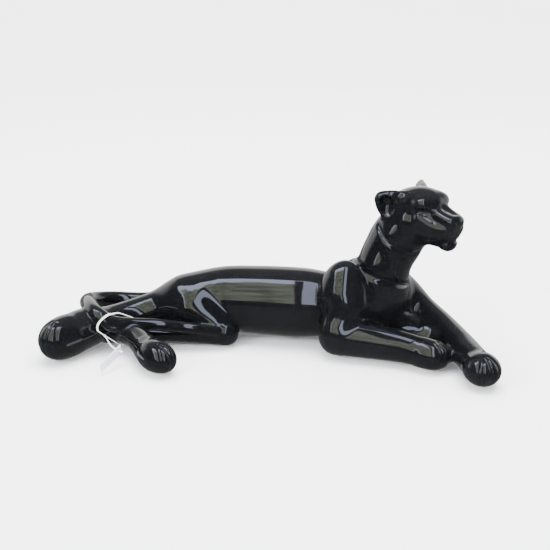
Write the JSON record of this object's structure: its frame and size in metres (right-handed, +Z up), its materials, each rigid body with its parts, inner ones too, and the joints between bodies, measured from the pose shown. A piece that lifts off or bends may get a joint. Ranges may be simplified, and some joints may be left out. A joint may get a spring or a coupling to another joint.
{
  "type": "tv lamp",
  "caption": "Reclining black panther television lamp: a hollow glazed casting with a small bulb, holder and turn switch behind a rear window in its flank.",
  "frame": {"origin": "on the table, under the middle of the whole object's box", "axes": "+X the way the figure faces and its length, -Y its near side (the side on show), +Z up"},
  "size_m": [0.442, 0.1672, 0.1639],
  "materials": {
    "black_glaze": "deep black high-gloss glaze over a slip-cast earthenware body",
    "zinc_steel": "zinc-plated, dull",
    "brass": "turned, slightly tarnished",
    "bakelite": "dark brown moulded phenolic",
    "porcelain": "white insulating porcelain",
    "spring_bronze": "phosphor bronze strip",
    "nickel_cap": "nickel-plated thin brass, rolled thread",
    "black_glass": "opaque black insulating glass",
    "solder": "dull solder",
    "bulb_glass": "clear thin blown glass",
    "tungsten": "drawn wire",
    "rubber": "moulded black rubber",
    "fibre": "red vulcanised fibre",
    "felt": "dark green pressed felt",
    "twine": "white cotton string, twisted",
    "card": "blank white card"
  },
  "bodies": {
    "figure": {"panther_shell": "black_glaze", "lamp_bracket": "zinc_steel", "bracket_screw": "zinc_steel", "bracket_nut": "zinc_steel", "steel_washer": "zinc_steel", "toothed_washer": "zinc_steel", "fibre_washer": "fibre", "cushion_pad": "rubber", "cable_grommet": "rubber", "threaded_nipple": "brass", "lock_nut": "brass", "thread_sleeve": "brass", "terminal_screw_live": "brass", "terminal_screw_neutral": "brass", "holder_cap": "bakelite", "holder_skirt": "bakelite", "holder_core": "porcelain", "centre_contact": "spring_bronze", "tag_string": "twine", "felt_pad_elbow": "felt", "felt_pad_belly": "felt", "felt_pad_far_paw": "felt", "felt_pad_hip": "felt", "felt_pad_folded_paw": "felt", "felt_pad_outstretched_paw": "felt"},
    "bulb": {"bulb_cap": "nickel_cap", "bulb_insulator": "black_glass", "bulb_contact": "solder", "bulb_glass": "bulb_glass", "bulb_stem": "bulb_glass", "bulb_filament": "tungsten"},
    "switch": {"switch_shaft": "brass", "switch_knob": "bakelite"},
    "tag": {"tag_card": "card"}
  },
  "joints": [
    {"name": "bulb_out", "type": "slide", "parent": "figure", "child": "bulb", "axis": [-1, 0, 0], "range_m": [0, 0.02]},
    {"name": "switch_turn", "type": "hinge", "parent": "figure", "child": "switch", "pos_m": [0.034, 0.042, 0.037], "axis": [0, 1, 0], "continuous": true},
    {"name": "tag_swing", "type": "hinge", "parent": "figure", "child": "tag", "pos_m": [-0.141, -0.0545, 0.014], "axis": [-0.9375, 0.3328, 0.1014], "range_deg": [0, 30]}
  ]
}
